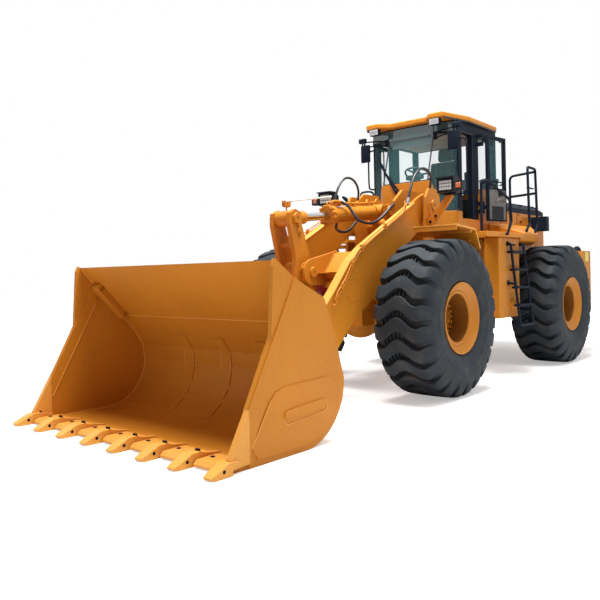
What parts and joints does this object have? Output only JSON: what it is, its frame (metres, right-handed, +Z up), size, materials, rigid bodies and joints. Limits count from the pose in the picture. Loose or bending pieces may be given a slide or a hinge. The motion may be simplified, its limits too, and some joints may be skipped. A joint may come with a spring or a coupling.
{
  "type": "wheel loader",
  "caption": "Articulated wheel loader with a toothed bucket on a bellcrank boom, a glazed cab with side doors, steps, rails and a rear engine hood.",
  "frame": {"origin": "on the ground under the middle of the machine's overall length and width", "axes": "+X forward to the bucket, +Y to the machine's left, +Z up"},
  "size_m": [9.5, 3.06, 3.71],
  "materials": {
    "orange": "semi-gloss orange paint",
    "black": "satin black paint",
    "chrome": "polished rod",
    "tyre": "matt rubber",
    "glass": "light green tint",
    "iron": "painted casting",
    "trim": "moulded grey trim",
    "seat": "woven seat cloth",
    "red_lens": "red lens"
  },
  "bodies": {
    "rear_frame": {"rear_frame": "orange", "rear_axle": "orange", "counterweight": "orange", "engine_block": "iron", "hood_top": "black", "hood_sides": "orange", "rear_grille": "black", "rear_lamps": "red_lens", "decks": "orange", "tanks": "orange", "side_boxes": "orange", "ladders": "black", "handrails": "black", "cab_base": "orange", "cab_frame": "black", "cab_roof": "orange", "cab_glass": "glass", "cab_lamps": "black", "mirrors": "black", "seat_base": "trim", "seat_cushion": "seat", "seat_back": "seat", "seat_headrest": "seat", "console": "trim", "stacks": "black"},
    "front_frame": {"front_frame": "orange", "front_axle": "orange", "front_fenders": "black", "headlamps": "black"},
    "boom": {"boom": "orange"},
    "bucket": {"bucket": "orange", "bucket_teeth": "black"},
    "bellcrank": {"bellcrank": "orange"},
    "link": {"link": "orange"},
    "tilt_barrel": {"tilt_barrel": "orange"},
    "tilt_rod": {"tilt_rod": "chrome"},
    "lift_barrels": {"lift_barrel": "orange"},
    "lift_rods": {"lift_rod": "chrome"},
    "steer_barrel_left": {"steer_barrel_left": "orange"},
    "steer_barrel_right": {"steer_barrel_right": "orange"},
    "steer_rod_left": {"steer_rod_left": "chrome"},
    "steer_rod_right": {"steer_rod_right": "chrome"},
    "door_left": {"door_left_frame": "black", "door_left_glass": "glass", "door_left_trim": "trim"},
    "door_right": {"door_right_frame": "black", "door_right_glass": "glass", "door_right_trim": "trim"},
    "wheel_front_left": {"tyre_front_left": "tyre", "rim_front_left": "orange"},
    "wheel_front_right": {"tyre_front_right": "tyre", "rim_front_right": "orange"},
    "wheel_rear_left": {"tyre_rear_left": "tyre", "rim_rear_left": "orange"},
    "wheel_rear_right": {"tyre_rear_right": "tyre", "rim_rear_right": "orange"}
  },
  "joints": [
    {"name": "wheel_front_left_spin", "type": "hinge", "parent": "front_frame", "child": "wheel_front_left", "pos_m": [0.8, 1.15, 0.9375], "axis": [0, 1, 0], "continuous": true},
    {"name": "wheel_front_right_spin", "type": "hinge", "parent": "front_frame", "child": "wheel_front_right", "pos_m": [0.8, -1.15, 0.9375], "axis": [0, 1, 0], "continuous": true},
    {"name": "wheel_rear_left_spin", "type": "hinge", "parent": "rear_frame", "child": "wheel_rear_left", "pos_m": [-2.9, 1.15, 0.9375], "axis": [0, 1, 0], "continuous": true},
    {"name": "wheel_rear_right_spin", "type": "hinge", "parent": "rear_frame", "child": "wheel_rear_right", "pos_m": [-2.9, -1.15, 0.9375], "axis": [0, 1, 0], "continuous": true},
    {"name": "steering", "type": "hinge", "parent": "rear_frame", "child": "front_frame", "pos_m": [-1.05, 0, 1.11], "axis": [0, 0, 1], "range_deg": [-35, 35]},
    {"name": "boom_lift", "type": "hinge", "parent": "front_frame", "child": "boom", "pos_m": [0, 0, 2.38], "axis": [0, -1, 0], "range_deg": [0, 66]},
    {"name": "bucket_tilt", "type": "hinge", "parent": "boom", "child": "bucket", "pos_m": [2.97, 0, 0.4], "axis": [0, 1, 0], "range_deg": [-43, 111]},
    {"name": "bellcrank_pivot", "type": "hinge", "parent": "boom", "child": "bellcrank", "pos_m": [2.06, 0, 1.51], "axis": [0, 1, 0], "range_deg": [-27.8, 10.8]},
    {"name": "link_pivot", "type": "hinge", "parent": "bucket", "child": "link", "pos_m": [3.035, 0, 0.79], "axis": [0, 1, 0], "range_deg": [-61.1, 23.7]},
    {"name": "tilt_cylinder_pivot", "type": "hinge", "parent": "front_frame", "child": "tilt_barrel", "pos_m": [0.3, 0, 2.33], "axis": [0, -1, 0], "range_deg": [0, 78.6]},
    {"name": "tilt_cylinder_stroke", "type": "slide", "parent": "tilt_barrel", "child": "tilt_rod", "axis": [0.9947, 0, -0.1031], "range_m": [-0.304, 0.118]},
    {"name": "lift_cylinders_pivot", "type": "hinge", "parent": "front_frame", "child": "lift_barrels", "pos_m": [-0.32, 0, 1.16], "axis": [0, -1, 0], "range_deg": [0, 43.5]},
    {"name": "lift_cylinders_stroke", "type": "slide", "parent": "lift_barrels", "child": "lift_rods", "axis": [0.998, 0, 0.0638], "range_m": [0, 1.073]},
    {"name": "steer_cylinder_left_pivot", "type": "hinge", "parent": "rear_frame", "child": "steer_barrel_left", "pos_m": [-1.9, 0.5, 0.81], "axis": [0, 0, 1], "range_deg": [-11.21, 11.21]},
    {"name": "steer_cylinder_left_stroke", "type": "slide", "parent": "steer_barrel_left", "child": "steer_rod_left", "axis": [0.9999, 0.0157, 0], "range_m": [-0.308, 0.308]},
    {"name": "steer_cylinder_right_pivot", "type": "hinge", "parent": "rear_frame", "child": "steer_barrel_right", "pos_m": [-1.9, -0.5, 0.81], "axis": [0, 0, 1], "range_deg": [-11.21, 11.21]},
    {"name": "steer_cylinder_right_stroke", "type": "slide", "parent": "steer_barrel_right", "child": "steer_rod_right", "axis": [0.9999, -0.0157, 0], "range_m": [-0.308, 0.308]},
    {"name": "left_door", "type": "hinge", "parent": "rear_frame", "child": "door_left", "pos_m": [-1.21, 0.806, 2.8], "axis": [0, 0, 1], "range_deg": [-172, 0]},
    {"name": "right_door", "type": "hinge", "parent": "rear_frame", "child": "door_right", "pos_m": [-1.21, -0.806, 2.8], "axis": [0, 0, -1], "range_deg": [0, 172]}
  ],
  "couplings": [
    {"joint": "bellcrank_pivot", "follows": "bucket_tilt", "ratio": -0.25},
    {"joint": "link_pivot", "follows": "bucket_tilt", "ratio": -0.55},
    {"joint": "tilt_cylinder_stroke", "follows": "bucket_tilt", "m_per_rad": -0.1566},
    {"joint": "tilt_cylinder_pivot", "follows": "boom_lift", "ratio": 1.19},
    {"joint": "lift_cylinders_pivot", "follows": "boom_lift", "ratio": 0.658},
    {"joint": "lift_cylinders_stroke", "follows": "boom_lift", "m_per_rad": 0.931},
    {"joint": "steer_cylinder_left_pivot", "follows": "steering", "ratio": 0.32},
    {"joint": "steer_cylinder_right_pivot", "follows": "steering", "ratio": 0.32},
    {"joint": "steer_cylinder_left_stroke", "follows": "steering", "m_per_rad": -0.504},
    {"joint": "steer_cylinder_right_stroke", "follows": "steering", "m_per_rad": 0.504}
  ]
}
